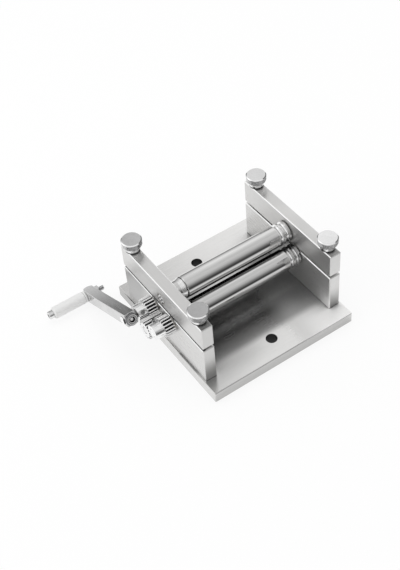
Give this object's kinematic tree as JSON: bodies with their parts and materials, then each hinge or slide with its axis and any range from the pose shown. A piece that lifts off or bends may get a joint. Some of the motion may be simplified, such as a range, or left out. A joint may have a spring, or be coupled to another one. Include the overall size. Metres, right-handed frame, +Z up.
{
  "type": "sheet bending machine",
  "caption": "Hand cranked bench roller bender: polished rollers between two stands on a base plate, geared at one end, with thumb screws that set the top roller.",
  "frame": {"origin": "centre of the base plate's underside", "axes": "+X along the rollers, away from the crank; +Y to the back; +Z up"},
  "size_m": [0.192, 0.1517, 0.0783],
  "materials": {
    "plate": "satin, finely ground",
    "roller": "ground and polished",
    "gear": "machined",
    "thumb": "bright, knurled rim",
    "arm": "satin",
    "grip": "satin",
    "bright_screw": "bright plated",
    "dark_screw": "dark steel",
    "bush": "bronze, machined",
    "spring": "spring wire"
  },
  "bodies": {
    "base": {"base_plate": "plate", "left_block": "plate", "right_block": "plate", "foot_screws": "dark_screw", "left_guide_pins": "bright_screw", "right_guide_pins": "bright_screw", "left_front_spring": "spring", "left_rear_spring": "spring", "right_front_spring": "spring", "right_rear_spring": "spring", "left_front_bush": "bush", "left_rear_bush": "bush", "right_front_bush": "bush", "right_rear_bush": "bush", "rear_washer": "bush", "front_washer": "bush", "idler_washer": "bush", "idler_bush": "bush"},
    "left_bar": {"left_bar": "plate", "left_top_bush": "bush"},
    "right_bar": {"right_bar": "plate", "right_top_bush": "bush"},
    "left_front_thumb": {"left_front_thumb": "thumb"},
    "left_rear_thumb": {"left_rear_thumb": "thumb"},
    "right_front_thumb": {"right_front_thumb": "thumb"},
    "right_rear_thumb": {"right_rear_thumb": "thumb"},
    "top_roller": {"top_roller": "roller"},
    "front_roller": {"front_roller": "roller", "front_gear": "gear", "front_set_screw": "dark_screw"},
    "crank": {"rear_roller": "roller", "rear_gear": "gear", "rear_set_screw": "dark_screw", "crank_arm": "arm", "clamp_screw": "dark_screw", "grip_screw": "bright_screw", "grip_collar": "dark_screw", "grip_nut": "bright_screw"},
    "idler": {"idler_gear": "gear", "idler_shaft": "bright_screw", "idler_clip": "spring", "idler_set_screw": "dark_screw"},
    "grip": {"grip": "grip"}
  },
  "joints": [
    {"name": "left_bar_slide", "type": "slide", "parent": "base", "child": "left_bar", "axis": [0, 0, 1], "range_m": [-0.002, 0.003], "deforming": ["left_front_spring", "left_rear_spring"]},
    {"name": "right_bar_slide", "type": "slide", "parent": "base", "child": "right_bar", "axis": [0, 0, 1], "range_m": [-0.002, 0.003], "deforming": ["right_front_spring", "right_rear_spring"]},
    {"name": "left_front_thumb_turn", "type": "hinge", "parent": "left_bar", "child": "left_front_thumb", "pos_m": [-0.0583, -0.0447, 0.06715], "axis": [0, 0, 1], "range_deg": [-905, 1355]},
    {"name": "left_rear_thumb_turn", "type": "hinge", "parent": "left_bar", "child": "left_rear_thumb", "pos_m": [-0.0583, 0.0447, 0.06715], "axis": [0, 0, 1], "range_deg": [-905, 1355]},
    {"name": "right_front_thumb_turn", "type": "hinge", "parent": "right_bar", "child": "right_front_thumb", "pos_m": [0.0583, -0.0447, 0.06715], "axis": [0, 0, 1], "range_deg": [-905, 1355]},
    {"name": "right_rear_thumb_turn", "type": "hinge", "parent": "right_bar", "child": "right_rear_thumb", "pos_m": [0.0583, 0.0447, 0.06715], "axis": [0, 0, 1], "range_deg": [-905, 1355]},
    {"name": "top_roller_spin", "type": "hinge", "parent": "left_bar", "child": "top_roller", "pos_m": [0, 0, 0.05375], "axis": [1, 0, 0], "continuous": true},
    {"name": "crank_spin", "type": "hinge", "parent": "base", "child": "crank", "pos_m": [0, 0.012, 0.038], "axis": [1, 0, 0], "continuous": true},
    {"name": "idler_spin", "type": "hinge", "parent": "base", "child": "idler", "pos_m": [0, 0, 0.03004], "axis": [1, 0, 0], "continuous": true},
    {"name": "front_roller_spin", "type": "hinge", "parent": "base", "child": "front_roller", "pos_m": [0, -0.012, 0.038], "axis": [1, 0, 0], "continuous": true},
    {"name": "grip_spin", "type": "hinge", "parent": "crank", "child": "grip", "pos_m": [-0.105, 0.07702, 0.00801], "axis": [1, 0, 0], "continuous": true}
  ],
  "couplings": [
    {"joint": "right_bar_slide", "follows": "left_bar_slide", "ratio": 1},
    {"joint": "left_front_thumb_turn", "follows": "left_bar_slide", "rad_per_m": 7854},
    {"joint": "left_rear_thumb_turn", "follows": "left_bar_slide", "rad_per_m": 7854},
    {"joint": "right_front_thumb_turn", "follows": "left_bar_slide", "rad_per_m": 7854},
    {"joint": "right_rear_thumb_turn", "follows": "left_bar_slide", "rad_per_m": 7854},
    {"joint": "idler_spin", "follows": "crank_spin", "ratio": -1},
    {"joint": "front_roller_spin", "follows": "crank_spin", "ratio": 1}
  ]
}
